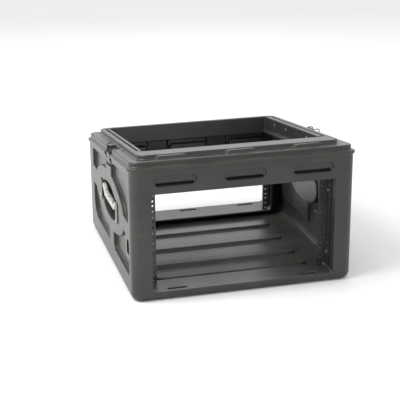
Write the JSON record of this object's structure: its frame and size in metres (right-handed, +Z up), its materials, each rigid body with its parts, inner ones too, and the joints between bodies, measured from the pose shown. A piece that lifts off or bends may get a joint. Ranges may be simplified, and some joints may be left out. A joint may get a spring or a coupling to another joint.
{
  "type": "equipment rack case",
  "caption": "Rotomoulded plastic rack case with a slanted top bay, open front and rear bays, steel rack rails, swing handles and draw latches.",
  "frame": {"origin": "centre of the bounding box's bottom face, on the plane the case stands on", "axes": "+X to the right as seen from the front, +Y to the back, +Z up; the top slopes down towards +Y"},
  "size_m": [0.612, 0.623, 0.3859],
  "materials": {
    "shell_plastic": "matt charcoal with a fine moulded grain",
    "rail_steel": "black powder coat with bare edges",
    "bolt_zinc": "zinc plated",
    "handle_plate": "plated plate, satin",
    "grip_plastic": "pale satin moulding",
    "pin_steel": "plain",
    "latch_steel": "black, worn at the edges",
    "hook_wire": "zinc plated wire",
    "keeper_steel": "zinc plated"
  },
  "bodies": {
    "case": {"case_shell": "shell_plastic", "front_bolt_left_1": "bolt_zinc", "front_bolt_left_2": "bolt_zinc", "front_bolt_right_1": "bolt_zinc", "front_bolt_right_2": "bolt_zinc", "front_rail_left": "rail_steel", "front_rail_right": "rail_steel", "handle_bracket_left_front": "handle_plate", "handle_bracket_left_rear": "handle_plate", "handle_bracket_right_front": "handle_plate", "handle_bracket_right_rear": "handle_plate", "handle_pin_left_front": "pin_steel", "handle_pin_left_rear": "pin_steel", "handle_pin_right_front": "pin_steel", "handle_pin_right_rear": "pin_steel", "handle_screw_left_front": "bolt_zinc", "handle_screw_left_rear": "bolt_zinc", "handle_screw_right_front": "bolt_zinc", "handle_screw_right_rear": "bolt_zinc", "keeper_bar_left": "keeper_steel", "keeper_bar_right": "keeper_steel", "keeper_plate_left": "keeper_steel", "keeper_plate_right": "keeper_steel", "latch_base_left": "latch_steel", "latch_base_right": "latch_steel", "latch_pin_left": "pin_steel", "latch_pin_right": "pin_steel", "latch_rivet_left_front": "bolt_zinc", "latch_rivet_left_rear": "bolt_zinc", "latch_rivet_right_front": "bolt_zinc", "latch_rivet_right_rear": "bolt_zinc", "rear_bolt_left_1": "bolt_zinc", "rear_bolt_left_2": "bolt_zinc", "rear_bolt_right_1": "bolt_zinc", "rear_bolt_right_2": "bolt_zinc", "rear_rail_left": "rail_steel", "rear_rail_right": "rail_steel", "top_bolt_left_1": "bolt_zinc", "top_bolt_left_2": "bolt_zinc", "top_bolt_left_3": "bolt_zinc", "top_bolt_right_1": "bolt_zinc", "top_bolt_right_2": "bolt_zinc", "top_bolt_right_3": "bolt_zinc", "top_rail_left": "rail_steel", "top_rail_right": "rail_steel"},
    "grip_left": {"handle_grip_left": "grip_plastic"},
    "grip_right": {"handle_grip_right": "grip_plastic"},
    "lever_left": {"latch_lever_left": "latch_steel"},
    "lever_right": {"latch_lever_right": "latch_steel"},
    "hook_left": {"latch_hook_left": "hook_wire"},
    "hook_right": {"latch_hook_right": "hook_wire"}
  },
  "joints": [
    {"name": "handle_swing_left", "type": "hinge", "parent": "case", "child": "grip_left", "pos_m": [-0.297, -0.0075, 0.204], "axis": [0, 1, 0], "range_deg": [0, 90]},
    {"name": "latch_pull_left", "type": "hinge", "parent": "case", "child": "lever_left", "pos_m": [-0.3, -0.02363, 0.3002], "axis": [0, -0.9909, 0.1346], "range_deg": [0, 120]},
    {"name": "hook_swing_left", "type": "hinge", "parent": "lever_left", "child": "hook_left", "pos_m": [-0.299, -0.02188, 0.31309], "axis": [0, -0.9909, 0.1346], "range_deg": [0, 60]},
    {"name": "handle_swing_right", "type": "hinge", "parent": "case", "child": "grip_right", "pos_m": [0.297, -0.0075, 0.204], "axis": [0, -1, 0], "range_deg": [0, 90]},
    {"name": "latch_pull_right", "type": "hinge", "parent": "case", "child": "lever_right", "pos_m": [0.3, -0.02363, 0.3002], "axis": [0, 0.9909, -0.1346], "range_deg": [0, 120]},
    {"name": "hook_swing_right", "type": "hinge", "parent": "lever_right", "child": "hook_right", "pos_m": [0.299, -0.02188, 0.31309], "axis": [0, 0.9909, -0.1346], "range_deg": [0, 60]}
  ]
}
